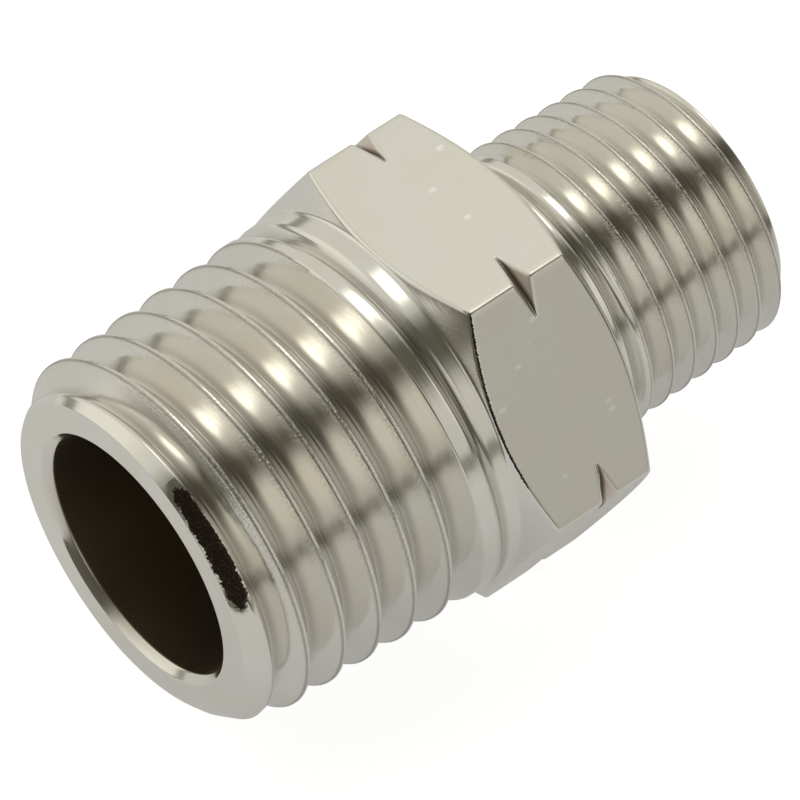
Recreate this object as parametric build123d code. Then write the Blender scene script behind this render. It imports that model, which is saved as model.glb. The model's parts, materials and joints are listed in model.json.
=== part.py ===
from build123d import *
import os
from math import atan2, cos, degrees, radians, tan

# Reducing hex nipple, one piece of hexagonal brass bar, in millimetres.
# The bore axis is the X axis, from the large end face at x = 0 to the small end. +Z is up, and two
# flats of the hexagon face +Z and -Z, so the nipple lies on a flat of its hexagon.

# Taper pipe thread form, the same at both ends
taper_slope = 1 / 32
flank_angle = 30.0
crest_flat_ratio = 0.090
root_flat_ratio = 0.075
cutter_margin_ratio = 0.4
run_in_ratio = 0.8
full_thread_pieces = 3
overlap = 0.02
run_out_step = 0.003

# Large end, 1/4 inch size with 18 threads per inch
large_pitch = 25.4 / 18
large_pitch_diameter = 12.126
large_groove_angle = 244.5
large_full_thread = 8.45
large_thread_length = 9.95
large_ring_radius = 5.70
large_chamfer_length = 1.10

# Small end, 1/8 inch size with 27 threads per inch
small_pitch = 25.4 / 27
small_pitch_diameter = 9.233
small_groove_angle = 230.6
small_full_thread = 6.35
small_thread_length = 7.30
small_ring_radius = 4.35
small_chamfer_length = 0.55

# Wrench hexagon, chamfered on both sides down from its corners
across_flats = 14.0
corner_start = 10.94
corner_end = 14.72
hex_chamfer_angle = 30.0
shoulder_x = 15.55

# Mark turned across the six corners of the hexagon
notch_x = 13.05
notch_bottom_radius = 7.50
notch_half_angle = 29.0

# Passage: a wide bore from the large end, the drill's cone, and a narrow bore to the small end
overall_length = 23.45
large_bore_radius = 4.38
small_bore_radius = 3.00
large_bore_depth = 12.60
drill_half_angle = 59.0
large_mouth_radius = 4.66
large_mouth_depth = 0.30
small_mouth_radius = 3.25
small_mouth_depth = 0.25

# Worked out from the sizes above
corner_radius = across_flats / 2 / cos(radians(30))
hex_chamfer_rise = tan(radians(hex_chamfer_angle))
overshoot = 0.2


def crest_radius_at_end(pitch_diameter, pitch):
    """Crest radius in the plane of the end face, from the standard pitch diameter there."""
    return pitch_diameter / 2 + pitch * (0.5 - crest_flat_ratio) / 2 / tan(radians(flank_angle))


def root_radius_at_end(pitch_diameter, pitch):
    """Root radius in the plane of the end face."""
    return pitch_diameter / 2 - pitch * (0.5 - root_flat_ratio) / 2 / tan(radians(flank_angle))


def turned(profile):
    """Solid of revolution about the bore axis, from (x, radius) points."""
    return revolve(make_face(Polyline(*profile, close=True)), axis=Axis.X)


def large_shank():
    """Tapered blank of the large thread, chamfered at its end."""
    end_crest = crest_radius_at_end(large_pitch_diameter, large_pitch)
    chamfer_top = end_crest + taper_slope * large_chamfer_length
    inner_x = corner_start + overshoot
    return turned([
        (0, 0), (0, large_ring_radius), (large_chamfer_length, chamfer_top),
        (inner_x, end_crest + taper_slope * inner_x), (inner_x, 0),
    ])


def small_shank():
    """Tapered blank of the small thread, chamfered at its end."""
    end_crest = crest_radius_at_end(small_pitch_diameter, small_pitch)
    chamfer_x = overall_length - small_chamfer_length
    inner_x = shoulder_x - overshoot
    return turned([
        (overall_length, 0), (overall_length, small_ring_radius),
        (chamfer_x, end_crest + taper_slope * small_chamfer_length),
        (inner_x, end_crest + taper_slope * (overall_length - inner_x)), (inner_x, 0),
    ])


def wrench_hexagon():
    """Hexagon with 30 degree chamfer cones, and the V mark turned across its corners."""
    blank_radius = corner_radius + overshoot
    chamfer_inset = overshoot * hex_chamfer_rise
    shoulder_radius = corner_radius - (shoulder_x - corner_end) / hex_chamfer_rise
    envelope = turned([
        (corner_start - corner_radius * hex_chamfer_rise, 0),
        (corner_start + chamfer_inset, blank_radius), (corner_end - chamfer_inset, blank_radius),
        (shoulder_x, shoulder_radius), (shoulder_x, 0),
    ])
    bar_section = RegularPolygon(across_flats / 2, 6, major_radius=False)
    bar = extrude(Plane.YZ * bar_section, amount=shoulder_x)
    return (bar & envelope) - corner_mark(blank_radius)


def corner_mark(outer_radius):
    """V groove ring that is deep enough to touch the hexagon at its corners only."""
    half_opening = (outer_radius - notch_bottom_radius) * tan(radians(notch_half_angle))
    return turned([
        (notch_x, notch_bottom_radius),
        (notch_x + half_opening, outer_radius), (notch_x - half_opening, outer_radius),
    ])


def passage():
    """Everything drilled out along the bore axis, with a small countersink at each end."""
    cone_end = large_bore_depth + (large_bore_radius - small_bore_radius) / tan(radians(drill_half_angle))
    return turned([
        (-overshoot, 0), (-overshoot, large_mouth_radius), (0, large_mouth_radius),
        (large_mouth_depth, large_bore_radius), (large_bore_depth, large_bore_radius),
        (cone_end, small_bore_radius), (overall_length - small_mouth_depth, small_bore_radius),
        (overall_length, small_mouth_radius),
        (overall_length + overshoot, small_mouth_radius), (overall_length + overshoot, 0),
    ])


def helical_cutter(pitch, start_angle, path, section_start, section_end):
    """Closed helical solid between two axial sections.

    path is (x of the first section, x of the last), and each section lists (offset along X, radius).
    """
    rails = []
    for (offset, first_radius), (_, last_radius) in zip(section_start, section_end):
        cone_angle = atan2(last_radius - first_radius, path[1] - path[0])
        rails.append(Edge.make_helix(
            pitch / cos(cone_angle), path[1] - path[0], first_radius,
            center=(path[0] + offset, 0, 0), normal=(1, 0, 0), angle=degrees(cone_angle),
        ))
    walls = [Face.make_surface_from_curves(rails[i - 1], rails[i]) for i in range(len(rails))]
    caps = [Face(Wire.make_polygon([rail @ end for rail in rails])) for end in (0, 1)]
    first_point = rails[0] @ 0
    found_angle = degrees(atan2(first_point.Z, first_point.Y))
    wanted_angle = start_angle + 360 * path[0] / pitch
    return Solid(Shell(walls + caps)).rotate(Axis.X, wanted_angle - found_angle)


def groove_section(depth_in, pitch, pitch_diameter, lift):
    """Corners of the groove's section as (offset along the axis, radius), root first."""
    margin = cutter_margin_ratio * crest_flat_ratio * pitch
    half_root = root_flat_ratio * pitch / 2
    half_mouth = (1 - crest_flat_ratio) * pitch / 2 + margin * tan(radians(flank_angle))
    root = root_radius_at_end(pitch_diameter, pitch) + lift
    mouth = crest_radius_at_end(pitch_diameter, pitch) + margin + lift
    corners = []
    for offset, radius in (
        (-half_root, root), (half_root, root), (half_mouth, mouth), (-half_mouth, mouth),
    ):
        corners.append((offset, radius + taper_slope * (depth_in + offset)))
    return corners


def thread_cutters(pitch, pitch_diameter, full_thread, thread_length, start_angle, end_x, direction):
    """Right-hand groove as solids in a row: the full thread, then the run-out that climbs out.

    end_x is the end face, and direction is +1 where the body lies on its +X side.
    """
    depth = crest_radius_at_end(pitch_diameter, pitch) - root_radius_at_end(pitch_diameter, pitch)
    clear_lift = depth + crest_flat_ratio * pitch
    run_in = run_in_ratio * pitch
    step = (full_thread + run_in) / full_thread_pieces
    stretches = []
    for i in range(full_thread_pieces):
        near = -run_in + i * step
        far = full_thread if i == full_thread_pieces - 1 else near + step + overlap
        stretches.append(((near, 0.0), (far, 0.0)))
    stretches.append(((full_thread - overlap, run_out_step), (thread_length, clear_lift)))
    cutters = []
    for stretch in stretches:
        ends = stretch[::direction]
        sections = []
        for depth_in, lift in ends:
            section = groove_section(depth_in, pitch, pitch_diameter, lift)
            sections.append([(direction * offset, radius) for offset, radius in section])
        path = [end_x + direction * depth_in for depth_in, _ in ends]
        cutters.append(helical_cutter(pitch, start_angle, path, *sections))
    return cutters


def threaded(shank, cutters):
    """A shank blank with its thread groove cut, one stretch of groove after another."""
    for cutter in cutters:
        shank -= cutter
    return shank


def nipple_body():
    """The whole fitting: two threaded shanks, the wrench hexagon and the passage."""
    large_end = threaded(large_shank(), thread_cutters(
        large_pitch, large_pitch_diameter, large_full_thread, large_thread_length,
        large_groove_angle, 0, 1,
    ))
    small_end = threaded(small_shank(), thread_cutters(
        small_pitch, small_pitch_diameter, small_full_thread, small_thread_length,
        small_groove_angle, overall_length, -1,
    ))
    return large_end + wrench_hexagon() + small_end - passage()


os.makedirs("parts", exist_ok=True)
nipple = nipple_body()
nipple.label = "nipple_body"
export_step(nipple, "parts/nipple_body.step")
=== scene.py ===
"""Looks of the hex nipple: a rounded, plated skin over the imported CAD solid, on a pale studio floor.

Lengths are in millimetres until a mesh is made, and angles are in degrees. The bore axis is X, from the
large end face at x = 0.
"""
import json
import math

import bpy
import numpy as np
from mathutils import Matrix, Vector

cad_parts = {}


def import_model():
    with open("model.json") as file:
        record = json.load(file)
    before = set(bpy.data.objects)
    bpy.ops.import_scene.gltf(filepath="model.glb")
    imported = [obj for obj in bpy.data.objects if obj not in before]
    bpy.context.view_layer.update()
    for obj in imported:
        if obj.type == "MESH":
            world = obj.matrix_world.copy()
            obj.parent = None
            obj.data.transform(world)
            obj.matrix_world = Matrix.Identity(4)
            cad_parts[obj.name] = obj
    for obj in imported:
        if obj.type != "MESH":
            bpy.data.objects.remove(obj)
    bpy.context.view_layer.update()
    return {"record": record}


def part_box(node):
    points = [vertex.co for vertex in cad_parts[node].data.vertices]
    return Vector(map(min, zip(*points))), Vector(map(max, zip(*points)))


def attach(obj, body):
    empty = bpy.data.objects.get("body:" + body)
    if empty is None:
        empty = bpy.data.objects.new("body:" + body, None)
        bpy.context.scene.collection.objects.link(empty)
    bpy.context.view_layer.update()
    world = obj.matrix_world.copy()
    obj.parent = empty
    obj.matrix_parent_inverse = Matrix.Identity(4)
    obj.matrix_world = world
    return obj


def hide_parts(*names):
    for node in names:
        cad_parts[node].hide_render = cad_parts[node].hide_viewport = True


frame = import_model()

MM = 0.001
mounts = {mount["name"]: mount for mount in frame["record"]["mounts"]}
low, high = (np.array(corner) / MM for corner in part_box("nipple_body"))

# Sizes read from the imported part
LENGTH = high[0] - low[0]
HALF_FLATS = (high[2] - low[2]) / 2
LARGE_BORE = mounts["large_bore"]["dims"]["r_mm"]
SMALL_BORE = mounts["small_bore"]["dims"]["r_mm"]
SMALL_BORE_LENGTH = mounts["small_bore"]["dims"]["length_mm"]

# Taper pipe thread form, as in the CAD
TAPER_SLOPE = 1 / 32
FLANK_RISE = 1 / math.tan(math.radians(30))
CREST_FLAT_RATIO = 0.090
ROOT_FLAT_RATIO = 0.075

# Wrench hexagon and the mark across its corners, as in the CAD
CORNER = HALF_FLATS / math.cos(math.radians(30))
CORNER_START = 10.94
CORNER_END = 14.72
CHAMFER_RISE = math.tan(math.radians(30))
SHOULDER_X = 15.55
NOTCH_X = 13.05
NOTCH_BOTTOM = 7.50
NOTCH_SPREAD = math.tan(math.radians(29))

# Countersinks and the drill's cone in the passage, as in the CAD
LARGE_MOUTH = 4.66
LARGE_MOUTH_DEPTH = 0.30
LARGE_BORE_DEPTH = 12.60
SMALL_MOUTH = 3.25
SMALL_MOUTH_DEPTH = 0.25

# Softness that plating and tumbling leave on the edges
EDGE_REACH = 0.10
CORNER_ROUND = 0.17
CREST_SOFTNESS = 0.05
ROOT_SOFTNESS = 0.30
CHAMFER_SOFTNESS = 0.08

# The torn patch is sunk a little and painted near-black as painted shadow
# Torn patch on the large end's chamfer, where the thread tool broke in: places are middle and half width
TORN_X = (0.32, 0.32)
TORN_ANGLE = (135.6, 24)
TORN_DEPTH = 0.05
TORN_RAGGEDNESS = 0.12
TORN_FADE = (0.5, 1.15)

# Dark line coloured along the front edge of one flat. A pair is where it is full and where it ends.
DARK_LINE_MIDDLE = 143
DARK_LINE_TURN = (22, 27)
DARK_LINE_ALONG = (0.03, 0.08)
DARK_LINE_BELOW_FLAT = (0.02, 0.07)
DARK_LINE_STRENGTH = 0.8

# Dull root and crest edge, both with painted shade, and nicked crest: full and ended, as parts of the pitch
ROOT_FADE = (0.04, 0.20)
CREST_FADE = (0.05, 0.12)
CREST_LINE_FADE = (0.01, 0.03)
CREST_LINE_STRENGTH = 1.5

# Mesh: angle between columns, extra columns near the hexagon's corners and the tips of its mark, rows at
# the edges of a crest or root and how far they spread in parts of the pitch, and where the bands meet
COLUMN_STEP = 1.5
CORNER_COLUMNS = (0, 0.1, 0.2, 0.3, 0.4, 0.6)
MARK_TIP_COLUMNS = 0.3
LEAST_MARK_HALF_WIDTH = 0.05
EDGE_ROWS = 7
EDGE_ROWS_SPREAD = 0.045
LARGE_BAND_END = CORNER_START - 0.9
SMALL_BAND_START = SHOULDER_X + 0.25
WELD_GRID = 2e-5
NEAR = 0.01


# ---------------------------------------------------------------- shapes

def fade(value, full, none):
    """1 up to one value, 0 past another, smooth between."""
    share = np.clip((none - value) / (none - full), 0, 1)
    return share * share * (3 - 2 * share)


def soft_min(a, b, reach):
    """Smaller of two heights, with the crease between them rounded over."""
    share = np.clip(0.5 + 0.5 * (b - a) / reach, 0, 1)
    return b + (a - b) * share - reach * share * (1 - share)


def soft_max(a, b, reach):
    """Larger of two heights, with the crease between them filled."""
    return -soft_min(-a, -b, reach)


class Thread:
    """One male thread: how its groove and its tapered blank vary with place.

    side is 1 for the thread that starts at x = 0 and -1 for the one that starts at the far end.
    """

    def __init__(self, pitch, pitch_diameter, groove_angle, full, length, ring, chamfer, end_x, side):
        self.pitch = pitch
        self.crest = pitch_diameter / 2 + pitch * (0.5 - CREST_FLAT_RATIO) / 2 * FLANK_RISE
        self.root = pitch_diameter / 2 - pitch * (0.5 - ROOT_FLAT_RATIO) / 2 * FLANK_RISE
        self.groove_angle = groove_angle
        self.full = full
        self.length = length
        self.ring = ring
        self.chamfer = chamfer
        self.end_x = end_x
        self.side = side

    def depth(self, x):
        """Distance along the axis from the thread's end face."""
        return self.side * (x - self.end_x)

    def blank(self, x):
        """Radius of the tapered blank."""
        return self.crest + TAPER_SLOPE * self.depth(x)

    def cone(self, x):
        """Radius of the end chamfer's cone."""
        top = self.blank(self.end_x + self.side * self.chamfer)
        return self.ring + (top - self.ring) * self.depth(x) / self.chamfer

    def groove_x(self, angle):
        """X of one turn of the groove's middle."""
        return self.pitch * (angle - self.groove_angle) / 360

    def off_groove(self, x, angle):
        """Distance along X from the middle of the nearest turn of the groove, positive toward +X."""
        along = x - self.groove_x(angle)
        return along - self.pitch * np.round(along / self.pitch)

    def radius(self, x, angle):
        """Radius of the finished thread, with its run-out and its end chamfer."""
        offset = self.off_groove(x, angle)
        middle_depth = self.depth(x) - self.side * offset
        run_out = np.maximum(0, (middle_depth - self.full) / (self.length - self.full))
        lift = run_out * (self.crest - self.root + CREST_FLAT_RATIO * self.pitch)
        flank = FLANK_RISE * (np.abs(offset) - ROOT_FLAT_RATIO * self.pitch / 2)
        rise = soft_max(flank, 0 * flank, ROOT_SOFTNESS)
        groove = self.root + TAPER_SLOPE * self.depth(x) + lift + rise
        surface = soft_min(groove, self.blank(x), CREST_SOFTNESS)
        return soft_min(surface, self.cone(x), CHAMFER_SOFTNESS)

    def near(self, distance, reach):
        """1 within the first part of the pitch, 0 past the second."""
        return fade(np.abs(distance), reach[0] * self.pitch, reach[1] * self.pitch)

    def on_full_thread(self, x):
        """Whether places are on the full thread, past most of the end chamfer."""
        return (self.depth(x) > 0.6 * self.chamfer) & (self.depth(x) < self.full)

    def root_share(self, x, angle):
        """1 at the root of the thread, 0 up its flanks."""
        on_thread = (self.depth(x) > EDGE_REACH) & (self.depth(x) < self.length)
        return on_thread * self.near(self.off_groove(x, angle), ROOT_FADE)

    def crest_share(self, x, angle):
        """1 on the middle of the full thread's crest, 0 off it."""
        off_crest = self.pitch / 2 - np.abs(self.off_groove(x, angle))
        return self.on_full_thread(x) * self.near(off_crest, CREST_FADE)

    def crest_line_share(self, x, angle):
        """1 along the crest's edge that faces the large end, 0 off it."""
        off_edge = self.off_groove(x, angle) - (1 - CREST_FLAT_RATIO) * self.pitch / 2
        return self.on_full_thread(x) * self.near(off_edge, CREST_LINE_FADE)


LARGE = Thread(25.4 / 18, 12.126, 244.5, 8.45, 9.95, 5.70, 1.10, 0.0, 1)
SMALL = Thread(25.4 / 27, 9.233, 230.6, 6.35, 7.30, 4.35, 0.55, LENGTH, -1)


def off_corner(angle):
    """Angle in radians from the nearest corner of the hexagon. Corners are at multiples of 60 degrees."""
    return np.radians((angle + 30) % 60 - 30)


def hexagon_radius(angle):
    """Radius of the rounded hexagon's section."""
    turn = off_corner(angle)
    flat = HALF_FLATS / np.cos(np.radians(30) - np.abs(turn))
    centre = (HALF_FLATS - CORNER_ROUND) / math.cos(math.radians(30))
    tangent = math.atan2(CORNER_ROUND / 2, centre + CORNER_ROUND * math.cos(math.radians(30)))
    inside = np.clip(CORNER_ROUND**2 - (centre * np.sin(turn))**2, 0, None)
    rounded = centre * np.cos(turn) + np.sqrt(inside)
    return np.where(np.abs(turn) < tangent, rounded, flat)


def torn_share(x, angle):
    """1 inside the torn patch on the large end's chamfer, 0 outside, with an uneven outline."""
    jag = TORN_RAGGEDNESS * np.sin(0.9 * angle) * np.sin(0.37 * angle + 2.0)
    across = np.abs(x - TORN_X[0]) / TORN_X[1]
    around = np.abs((angle - TORN_ANGLE[0] + 180) % 360 - 180) / TORN_ANGLE[1]
    return fade(np.hypot(across, around**2) + jag, *TORN_FADE)


def dark_line_share(x, radius, angle):
    """1 on the dark line along the front edge of one flat of the hexagon, 0 off it."""
    front_edge = CORNER_START - (CORNER - radius) * CHAMFER_RISE
    to_flat = radius * np.cos(math.radians(30) - np.abs(off_corner(angle)))
    on_edge = fade(np.abs(x - front_edge), *DARK_LINE_ALONG) * fade(HALF_FLATS - to_flat, *DARK_LINE_BELOW_FLAT)
    return on_edge * fade(np.abs(angle - DARK_LINE_MIDDLE), *DARK_LINE_TURN) * (x < NOTCH_X - 1)


# ---------------------------------------------------------------- mesh

def column_angles():
    """Angles of the mesh's columns, closer together at the hexagon's corners and the tips of its mark."""
    mark_tip = 30 - math.degrees(math.acos(HALF_FLATS / NOTCH_BOTTOM))
    near_corner = [*CORNER_COLUMNS, mark_tip - MARK_TIP_COLUMNS, mark_tip, mark_tip + MARK_TIP_COLUMNS]
    angles = set(np.round(np.arange(0, 360, COLUMN_STEP), 4))
    for corner_angle in range(0, 360, 60):
        for offset in near_corner:
            angles.add(round((corner_angle + offset) % 360, 4))
            angles.add(round((corner_angle - offset) % 360, 4))
    return np.array(sorted(angles))


def softened(corners, reach, steps=5):
    """Path through (x, radius) corners for each column, with every inner corner rounded.

    corners is (columns, corners, 2). The first and last points are kept. A guard point on each side of a
    rounded corner keeps the shading of the straight stretch next to it flat.
    """
    path = [corners[:, 0]]
    for i in range(1, corners.shape[1] - 1):
        point = corners[:, i]
        ends = []
        guards = []
        for other in (corners[:, i - 1], corners[:, i + 1]):
            away = other - point
            size = np.linalg.norm(away, axis=1, keepdims=True)
            step = np.minimum(reach, 0.45 * size)
            heading_away = away / np.maximum(size, 1e-9)
            ends.append(point + heading_away * step)
            guards.append(point + heading_away * np.minimum(1.6 * step, 0.48 * size))
        path.append(guards[0])
        for share in np.linspace(0, 1, steps):
            path.append((1 - share)**2 * ends[0] + 2 * share * (1 - share) * point + share**2 * ends[1])
        path.append(guards[1])
    path.append(corners[:, -1])
    return np.stack(path, axis=1)


def per_column(points, count):
    """(columns, corners, 2) from (x, radius) pairs whose values are numbers or one value per column."""
    grid = np.empty((count, len(points), 2))
    for i, (x, radius) in enumerate(points):
        grid[:, i, 0] = x
        grid[:, i, 1] = radius
    return grid


def hexagon_path(angles):
    """Outline from the large thread's band over the hexagon to the small thread's, for each column."""
    flat = hexagon_radius(angles)
    foot_x = (LARGE.crest - CORNER + CORNER_START / CHAMFER_RISE) / (1 / CHAMFER_RISE - TAPER_SLOPE)
    depth = np.clip(flat - NOTCH_BOTTOM, 0, None)
    half_width = np.maximum(depth * NOTCH_SPREAD, LEAST_MARK_HALF_WIDTH)
    shoulder = CORNER - (SHOULDER_X - CORNER_END) / CHAMFER_RISE
    return softened(per_column([
        (LARGE_BAND_END, LARGE.radius(np.full_like(angles, LARGE_BAND_END), angles)),
        (foot_x, LARGE.blank(foot_x)),
        (CORNER_START - (CORNER - flat) * CHAMFER_RISE, flat),
        (NOTCH_X - half_width, flat),
        (NOTCH_X, flat - depth),
        (NOTCH_X + half_width, flat),
        (CORNER_END + (CORNER - flat) * CHAMFER_RISE, flat),
        (SHOULDER_X, shoulder),
        (SHOULDER_X, SMALL.blank(SHOULDER_X)),
        (SMALL_BAND_START, SMALL.radius(np.full_like(angles, SMALL_BAND_START), angles)),
    ], len(angles)), EDGE_REACH)


def passage_path(angles, inset):
    """Outline from the small end's outer edge, through the passage, to the large end's outer edge."""
    at = np.full_like(angles, 1.0)
    cone_x = LENGTH - SMALL_MOUTH_DEPTH - SMALL_BORE_LENGTH
    return softened(per_column([
        (LENGTH - inset, SMALL.radius(at * (LENGTH - inset), angles)),
        (LENGTH, SMALL.radius(at * LENGTH, angles)),
        (LENGTH, SMALL_MOUTH),
        (LENGTH - SMALL_MOUTH_DEPTH, SMALL_BORE),
        (cone_x, SMALL_BORE),
        (LARGE_BORE_DEPTH, LARGE_BORE),
        (LARGE_MOUTH_DEPTH, LARGE_BORE),
        (0, LARGE_MOUTH),
        (0, LARGE.radius(at * 0, angles)),
        (inset, LARGE.radius(at * inset, angles)),
    ], len(angles)), inset)


def row_offsets(pitch):
    """Offsets of one pitch's rows from the groove's middle, closer together at root and crest edges."""
    root_edge = ROOT_FLAT_RATIO * pitch / 2
    crest_edge = (1 - CREST_FLAT_RATIO) * pitch / 2
    spread = np.linspace(-1, 1, EDGE_ROWS) * EDGE_ROWS_SPREAD * pitch
    flank = np.linspace(root_edge, crest_edge, EDGE_ROWS)[2:-2]
    half = np.concatenate([root_edge + spread, flank, crest_edge + spread])
    half = half[(half > 0) & (half < pitch / 2)]
    return np.sort(np.concatenate([[0], half, -half]))


def thread_grid(thread, angles, low_x, high_x):
    """Rows that follow the helix, cut square at low_x and high_x: (columns, rows, 2), rows per turn."""
    offsets = row_offsets(thread.pitch)
    turns = np.arange(math.floor(low_x / thread.pitch) - 2, math.ceil(high_x / thread.pitch) + 3)
    rows = (turns[:, None] * thread.pitch + offsets[None, :]).ravel()
    x = np.clip(thread.groove_x(angles)[:, None] + rows[None, :], low_x, high_x)
    radius = thread.radius(x, np.broadcast_to(angles[:, None], x.shape))
    return np.stack([x, radius], axis=2), len(offsets)


def grid_mesh(grid, angles, shift=0):
    """Points and quads of a closed band. shift is how many rows the seam climbs in one turn."""
    columns, rows, _ = grid.shape
    turn = np.radians(angles)[:, None]
    outside = grid[:, :, 1] > LARGE_MOUTH + 2 * EDGE_REACH
    torn = torn_share(grid[:, :, 0], np.broadcast_to(angles[:, None], (columns, rows))) * outside
    grid[:, :, 1] -= TORN_DEPTH * torn
    points = np.stack([
        grid[:, :, 0], grid[:, :, 1] * np.cos(turn), grid[:, :, 1] * np.sin(turn),
    ], axis=2).reshape(-1, 3)
    column, row = np.meshgrid(np.arange(columns), np.arange(rows - 1), indexing="ij")
    next_column = (column + 1) % columns
    climb = np.where(next_column == 0, shift, 0)
    keep = (row + climb + 1 < rows) & (row + climb >= 0)
    first = column * rows + row
    second = next_column * rows + row + climb
    quads = np.stack([first, second, second + 1, first + 1], axis=2)[keep]
    return points, quads


def welded(bands):
    """One list of points and one of faces, with points that coincide joined and slivers dropped."""
    points = np.concatenate([points for points, _ in bands])
    starts = np.cumsum([0] + [len(points) for points, _ in bands[:-1]])
    quads = np.concatenate([quads + start for (_, quads), start in zip(bands, starts)])
    keys = np.round(points / WELD_GRID).astype(np.int64)
    _, first, index = np.unique(keys, axis=0, return_index=True, return_inverse=True)
    faces = []
    for quad in index.reshape(-1)[quads]:
        face = [a for a, b in zip(quad, np.roll(quad, 1)) if a != b]
        if len(face) > 2 and len(set(face)) == len(face):
            faces.append([int(corner) for corner in face])
    return points[first], faces


def surface_kinds(points):
    """How much each point belongs to each kind of surface, between 0 and 1, for the material."""
    x = points[:, 0]
    radius = np.hypot(points[:, 1], points[:, 2])
    angle = np.degrees(np.arctan2(points[:, 2], points[:, 1])) % 360
    flat = (np.abs(radius - hexagon_radius(angle)) < 0.4 * NEAR) & (x < SHOULDER_X - NEAR)
    in_large_bore = x < LARGE_BORE_DEPTH + 2 * EDGE_REACH
    widest = np.where(in_large_bore, LARGE_BORE + NEAR, SMALL.root - 2 * EDGE_REACH)
    passage = (x > LARGE_MOUTH_DEPTH) & (x < LENGTH - SMALL_MOUTH_DEPTH) & (radius < widest)
    on_chamfer = radius > LARGE.cone(x) - 0.12
    # Near-black mask: painted shadow in the torn patch, and a dark line along one flat's front edge
    torn = np.maximum(torn_share(x, angle) * on_chamfer, DARK_LINE_STRENGTH * dark_line_share(x, radius, angle))
    # Painted shade in the thread roots and along the crest's edge that faces the large end; both are also
    # rougher
    line = LARGE.crest_line_share(x, angle) + SMALL.crest_line_share(x, angle)
    root = LARGE.root_share(x, angle) + SMALL.root_share(x, angle)
    return {
        "flat_share": flat,
        "passage_share": passage,
        "crest_share": LARGE.crest_share(x, angle) + SMALL.crest_share(x, angle),
        "dull_share": np.maximum(root, CREST_LINE_STRENGTH * line),
        "torn_share": torn,
    }


def nipple_mesh():
    """The whole skin as one closed mesh."""
    angles = column_angles()
    inset = EDGE_REACH / 2
    large, large_rows = thread_grid(LARGE, angles, inset, LARGE_BAND_END)
    small, small_rows = thread_grid(SMALL, angles, SMALL_BAND_START, LENGTH - inset)
    points, faces = welded([
        grid_mesh(large, angles, large_rows),
        grid_mesh(hexagon_path(angles), angles),
        grid_mesh(small, angles, small_rows),
        grid_mesh(passage_path(angles, inset), angles),
    ])
    mesh = bpy.data.meshes.new("nipple_skin")
    mesh.from_pydata((points * MM).tolist(), [], faces)
    mesh.polygons.foreach_set("use_smooth", [True] * len(mesh.polygons))
    for name, values in surface_kinds(points).items():
        mesh.attributes.new(name, "FLOAT", "POINT").data.foreach_set("value", values.astype(np.float32))
    mesh.validate()
    return mesh


nipple = bpy.data.objects.new("nipple_skin", nipple_mesh())
bpy.context.scene.collection.objects.link(nipple)
weighted = nipple.modifiers.new("even_normals", "WEIGHTED_NORMAL")
weighted.weight = 80
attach(nipple, "root")
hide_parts("nipple_body")


# ---------------------------------------------------------------- shader helpers

def node(tree, kind, values=(), **settings):
    """A shader node with its settings, and its inputs set to numbers or joined to other outputs."""
    made = tree.nodes.new(kind)
    for name, value in settings.items():
        setattr(made, name, value)
    for name, value in dict(values).items():
        if isinstance(value, bpy.types.NodeSocket):
            tree.links.new(value, made.inputs[name])
        else:
            made.inputs[name].default_value = value
    return made


def maths(tree, operation, *values):
    """Output of one arithmetic step."""
    return node(tree, "ShaderNodeMath", dict(enumerate(values)), operation=operation).outputs[0]


def product(tree, first, *others):
    """First value multiplied by all the others."""
    for other in others:
        first = maths(tree, "MULTIPLY", first, other)
    return first


def ramp(tree, value, start, end, low_value=0.0, high_value=1.0):
    """Smooth climb from one value to another while the input goes from start to end."""
    values = {"Value": value, "From Min": start, "From Max": end, "To Min": low_value, "To Max": high_value}
    return node(tree, "ShaderNodeMapRange", values, interpolation_type="SMOOTHSTEP").outputs["Result"]


def blend(tree, share, first, second):
    """Colour between two colours."""
    return node(tree, "ShaderNodeMix", {0: share, 6: first, 7: second}, data_type="RGBA").outputs[2]


def between(tree, share, first, second):
    """Number between two numbers."""
    return node(tree, "ShaderNodeMix", {0: share, 2: first, 3: second}, data_type="FLOAT").outputs[0]


def noise(tree, vector, scale=1.0, detail=2.0):
    """Soft noise between 0 and 1."""
    values = {"Vector": vector, "Scale": scale, "Detail": detail}
    return node(tree, "ShaderNodeTexNoise", values).outputs["Fac"]


def stretched(tree, vector, factors):
    """Coordinates scaled by a factor on each axis."""
    return node(tree, "ShaderNodeMapping", {"Vector": vector, "Scale": factors}).outputs["Vector"]


def part_of(tree, vector, axis):
    """One part of a vector."""
    return node(tree, "ShaderNodeSeparateXYZ", {"Vector": vector}).outputs[axis]


def carried(tree, name):
    """A share between 0 and 1 that the mesh carries at its points."""
    return node(tree, "ShaderNodeAttribute", attribute_name=name).outputs["Fac"]


# ---------------------------------------------------------------- materials

# Metal colours, and the painted glint, shade and shadow
COOL_NICKEL = (0.86, 0.85, 0.81, 1)
WARM_NICKEL = (0.85, 0.825, 0.775, 1)
# Lighter dots on the flats: a painted glint on small dents
PAINTED_FLECK_GLINT = (1.0, 1.0, 0.98, 1)
CUT_METAL = (0.85, 0.79, 0.73, 1)
# Painted shade at the bottom of the corner marks
CUT_ROOT_PAINTED_SHADE = (0.26, 0.22, 0.18, 1)
# Painted shade in the thread roots and along the crest's edge
THREAD_PAINTED_SHADE = (0.30, 0.27, 0.23, 1)
# Passage painted dark brown: painted shade inside the bore
PASSAGE_PAINTED_SHADE = (0.42, 0.35, 0.27, 1)
# Torn patch painted near-black as painted shadow, with lighter specks; also the dark line along one flat's
# edge
TORN_PAINTED_SHADOW = (0.035, 0.025, 0.02, 1)
TORN_SHADOW_SPECKS = (0.09, 0.07, 0.055, 1)

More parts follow.
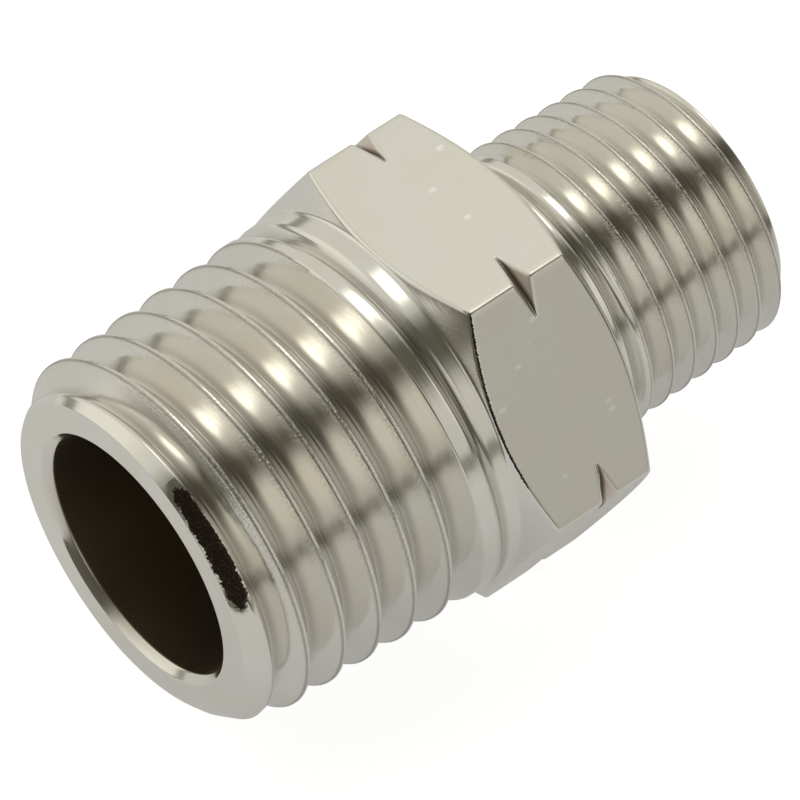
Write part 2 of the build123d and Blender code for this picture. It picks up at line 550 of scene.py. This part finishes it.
# Patterns, in repeats per millimetre
CLOUD_SCALE = 0.45
GRAIN_STRETCH = (3, 9, 9)
TURNING_STRETCH = (12, 0.25, 0.25)
NICK_SCALE = 15.0
FLECK_STRETCH = (0.8, 1.2, 1.2)

# Radius of a fleck where it ends and where it is full, in parts of its cell, and the cells left empty
FLECK_RADIUS = (0.17, 0.07)
FLECKLESS_CELLS = 0.25

# Distance from the middle of the corner mark where its painted shade ends and where it is full
CUT_ROOT_SHADE_REACH = (0.14, 0.04)

# Roughness: bright turned metal, satin flats, and the other kinds
GLOSS = (0.10, 0.16)
DULLER = 0.05
SATIN = (0.285, 0.33)
CUT_ROUGHNESS = 0.45
DRILLED_ROUGHNESS = 0.34
TORN_ROUGHNESS = 0.5

# Fine relief that only the light shows, in millimetres
TURNING_HEIGHT = 0.0015
GRAIN_HEIGHT = 0.003
NICK_DEPTH = 0.009
FLECK_DEPTH = 0.003


def fleck_pattern(tree, place, flats):
    """Small dots scattered over the flats, dented in the relief and lighter as a painted glint."""
    values = {"Vector": stretched(tree, place, FLECK_STRETCH), "Scale": 1.0}
    cells = node(tree, "ShaderNodeTexVoronoi", values).outputs
    pick = node(tree, "ShaderNodeSeparateColor", {"Color": cells["Color"]}).outputs["Red"]
    dots = ramp(tree, cells["Distance"], *FLECK_RADIUS)
    return product(tree, dots, maths(tree, "GREATER_THAN", pick, FLECKLESS_CELLS), flats)


def plated_nickel():
    """Nickel plating over turned brass.

    The hexagon's flats are satin with small dented flecks, lighter as a painted glint. The threads and
    cones are bright, with faint turning lines, nicked crests, and duller roots and crest edges carrying
    painted shade.
    The corner marks are rough, with painted shade at the bottom. The drilled passage is dull and painted
    dark brown as shade inside the bore. The torn patch is painted near-black as painted shadow, and a line
    along one flat's front edge is near-black too.
    """
    material = bpy.data.materials.new("plated_nickel")
    material.use_nodes = True
    tree = material.node_tree
    surface = tree.nodes["Principled BSDF"]
    surface.inputs["Metallic"].default_value = 1.0

    # Place in millimetres, and the kinds of surface
    coordinates = node(tree, "ShaderNodeTexCoord").outputs
    place = stretched(tree, coordinates["Object"], (1 / MM, 1 / MM, 1 / MM))
    along = part_of(tree, place, "X")
    flats = carried(tree, "flat_share")
    inside = carried(tree, "passage_share")
    crests = carried(tree, "crest_share")
    shade_and_dull = carried(tree, "dull_share")
    torn = carried(tree, "torn_share")
    steep = ramp(tree, maths(tree, "ABSOLUTE", part_of(tree, coordinates["Normal"], "X")), 0.2, 0.5)
    mark = product(tree, maths(tree, "COMPARE", along, NOTCH_X, 1.0), steep)
    off_mark = maths(tree, "ABSOLUTE", maths(tree, "SUBTRACT", along, NOTCH_X))
    # Painted shade toward the bottom of the corner mark
    mark_root_shade = ramp(tree, off_mark, *CUT_ROOT_SHADE_REACH)

    # Patterns
    cloud = noise(tree, place, CLOUD_SCALE, 1.0)
    grain = noise(tree, stretched(tree, place, GRAIN_STRETCH))
    turning = noise(tree, stretched(tree, place, TURNING_STRETCH))
    nicks = noise(tree, place, NICK_SCALE, 1.0)
    fleck = fleck_pattern(tree, place, flats)
    # Mask of the near-black painted shadow and dark edge line, with a ragged outline
    dark_patch = ramp(tree, maths(tree, "ADD", torn, nicks), 0.85, 1.0)

    # Colour
    metal = blend(tree, ramp(tree, cloud, 0.35, 0.65), COOL_NICKEL, WARM_NICKEL)
    # Flecks lightened: a painted glint
    metal = blend(tree, product(tree, fleck, 0.85), metal, PAINTED_FLECK_GLINT)
    # Corner marks in cut metal, with painted shade toward their bottom
    metal = blend(tree, mark, metal, blend(tree, mark_root_shade, CUT_METAL, CUT_ROOT_PAINTED_SHADE))
    # Painted shade in the thread roots and along the crest's edge
    metal = blend(tree, product(tree, shade_and_dull, 0.4), metal, THREAD_PAINTED_SHADE)
    # Passage painted dark brown as painted shade inside the bore
    metal = blend(tree, inside, metal, PASSAGE_PAINTED_SHADE)
    # Near-black painted shadow on the torn patch, and the dark line along one flat's front edge
    metal = blend(tree, dark_patch, metal, blend(tree, ramp(tree, nicks, 0.5, 0.75), TORN_PAINTED_SHADOW, TORN_SHADOW_SPECKS))
    tree.links.new(metal, surface.inputs["Base Color"])

    # Roughness
    gloss = maths(tree, "MULTIPLY_ADD", shade_and_dull, DULLER, ramp(tree, turning, 0.3, 0.7, *GLOSS))
    rough = between(tree, flats, gloss, ramp(tree, cloud, 0.3, 0.7, *SATIN))
    rough = between(tree, mark, rough, CUT_ROUGHNESS)
    rough = between(tree, inside, rough, DRILLED_ROUGHNESS)
    rough = between(tree, dark_patch, rough, TORN_ROUGHNESS)
    tree.links.new(rough, surface.inputs["Roughness"])

    # Relief
    lines = product(tree, turning, maths(tree, "SUBTRACT", 1.0, flats), TURNING_HEIGHT)
    fine = product(tree, grain, flats, GRAIN_HEIGHT)
    bitten = product(tree, ramp(tree, nicks, 0.62, 0.5), crests, NICK_DEPTH)
    dent = product(tree, fleck, -FLECK_DEPTH)
    height = maths(tree, "ADD", maths(tree, "ADD", lines, fine), maths(tree, "ADD", bitten, dent))
    relief = node(tree, "ShaderNodeBump", {"Height": height, "Distance": MM, "Strength": 1.0})
    tree.links.new(relief.outputs["Normal"], surface.inputs["Normal"])
    return material


nipple.data.materials.append(plated_nickel())


# ---------------------------------------------------------------- studio

# Soft-edged panels of the light tent, back to front. Azimuth and elevation of the middle, then how far
# the full light and the last of it reach from there, then brightness.
PANELS = [
    ("back_wall", 85, 15, 72, 92, 0.67),
    ("low_fill", -72, 10, 20, 45, 0.56),
    ("camera_side_cloth", -118, 26, 12, 34, 0.60),
    ("front_reflector", -46, 27, 8, 24, 0.72),
    ("far_reflector", 122, 28, 15, 38, 0.85),
    ("top_softbox", 28, 63, 5, 15, 2.0),
]
PANEL_TINT = (1.0, 0.98, 0.87)

# Dark gap between the table's edge and the panels: elevation, reach, fade, and how dark
GAP_HEIGHT = -1
GAP_REACH = 2
GAP_FADE = 7
GAP_DEPTH = 0.7

# What the metal sees between the panels, and what the camera sees above the floor
ROOM = (0.10, 0.092, 0.07, 1)
BACKDROP = (0.93, 0.93, 0.93, 1)

# Pale floor, and the round sheet of it that the metal reflects: full and last reach, in metres
FLOOR_HALF = 0.6
FLOOR_COLOUR = (0.5, 0.5, 0.5, 1)
FLOOR_ROUGHNESS = 0.9
FLOOR_GLOW_ON_METAL = 0.30
FLOOR_GLOW_TO_CAMERA = 0.85
SHEET_REACH = 0.045
SHEET_FADE = 0.075

# Camera
AIM = (9.16, -2.46, 2.88)
DISTANCE = 284.0
AZIMUTH = -36.43
ELEVATION = 49.19
ROLL = 3.81
LENS = 403.6
SENSOR = 36


def heading(azimuth, elevation):
    """Unit vector toward a place on the sky."""
    turn, climb = math.radians(azimuth), math.radians(elevation)
    return (math.cos(climb) * math.cos(turn), math.cos(climb) * math.sin(turn), math.sin(climb))


def world():
    """Light tent: a dim room with the soft panels around it. The camera sees a plain pale backdrop."""
    made = bpy.data.worlds.new("studio")
    made.use_nodes = True
    tree = made.node_tree
    looking = node(tree, "ShaderNodeTexCoord").outputs["Generated"]
    colour = ROOM
    for _, azimuth, elevation, reach, fade_reach, brightness in PANELS:
        values = {0: looking, 1: heading(azimuth, elevation)}
        towards = node(tree, "ShaderNodeVectorMath", values, operation="DOT_PRODUCT").outputs["Value"]
        angle = maths(tree, "ARCCOSINE", towards)
        share = ramp(tree, angle, math.radians(fade_reach), math.radians(reach))
        colour = blend(tree, share, colour, (*(brightness * part for part in PANEL_TINT), 1))
    height = maths(tree, "ARCSINE", part_of(tree, looking, "Z"))
    off_gap = maths(tree, "ABSOLUTE", maths(tree, "SUBTRACT", height, math.radians(GAP_HEIGHT)))
    gap = ramp(tree, off_gap, math.radians(GAP_FADE), math.radians(GAP_REACH), 0.0, GAP_DEPTH)
    colour = blend(tree, gap, colour, ROOM)
    seen = node(tree, "ShaderNodeLightPath").outputs["Is Camera Ray"]
    colour = blend(tree, seen, colour, BACKDROP)
    tree.links.new(colour, tree.nodes["Background"].inputs["Color"])
    bpy.context.scene.world = made


def pale_floor():
    """Material that the camera sees as evenly lit, and that ends past the sheet for reflections."""
    material = bpy.data.materials.new("pale_floor")
    material.use_nodes = True
    tree = material.node_tree
    surface = tree.nodes["Principled BSDF"]
    surface.inputs["Base Color"].default_value = FLOOR_COLOUR
    surface.inputs["Roughness"].default_value = FLOOR_ROUGHNESS
    surface.inputs["Emission Color"].default_value = (1, 1, 1, 1)
    ray = node(tree, "ShaderNodeLightPath").outputs
    glow = between(tree, ray["Is Camera Ray"], FLOOR_GLOW_ON_METAL, FLOOR_GLOW_TO_CAMERA)
    tree.links.new(glow, surface.inputs["Emission Strength"])
    place = node(tree, "ShaderNodeNewGeometry").outputs["Position"]
    away = node(tree, "ShaderNodeVectorMath", {0: place}, operation="LENGTH").outputs["Value"]
    cut = product(tree, ramp(tree, away, SHEET_REACH, SHEET_FADE), ray["Is Glossy Ray"])
    clear = node(tree, "ShaderNodeBsdfTransparent").outputs["BSDF"]
    mixed = node(tree, "ShaderNodeMixShader", {0: cut, 1: surface.outputs["BSDF"], 2: clear})
    tree.links.new(mixed.outputs["Shader"], tree.nodes["Material Output"].inputs["Surface"])
    return material


def floor():
    """Plain pale floor that the lower flat lies on."""
    mesh = bpy.data.meshes.new("floor")
    corners = [(x, y, low[2] * MM) for x, y in ((-1, -1), (1, -1), (1, 1), (-1, 1))]
    corners = [(x * FLOOR_HALF, y * FLOOR_HALF, z) for x, y, z in corners]
    mesh.from_pydata(corners, [], [(0, 1, 2, 3)])
    mesh.materials.append(pale_floor())
    made = bpy.data.objects.new("floor", mesh)
    bpy.context.scene.collection.objects.link(made)


def camera():
    """Long lens from above the large end's side."""
    azimuth = math.radians(AZIMUTH)
    elevation = math.radians(ELEVATION)
    forward = Vector((
        -math.sin(azimuth) * math.cos(elevation), math.cos(azimuth) * math.cos(elevation),
        -math.sin(elevation),
    ))
    level = Vector((math.cos(azimuth), math.sin(azimuth), 0))
    right = Matrix.Rotation(math.radians(ROLL), 3, forward) @ level
    rotation = Matrix((right, right.cross(forward), -forward)).transposed()
    data = bpy.data.cameras.new("camera")
    data.lens = LENS
    data.sensor_width = SENSOR
    data.clip_start = 0.01
    made = bpy.data.objects.new("camera", data)
    place = Vector(AIM) * MM - forward * DISTANCE * MM
    made.matrix_world = Matrix.Translation(place) @ rotation.to_4x4()
    bpy.context.scene.collection.objects.link(made)
    bpy.context.scene.camera = made


floor()
world()
camera()
bpy.context.scene.view_settings.view_transform = "Standard"
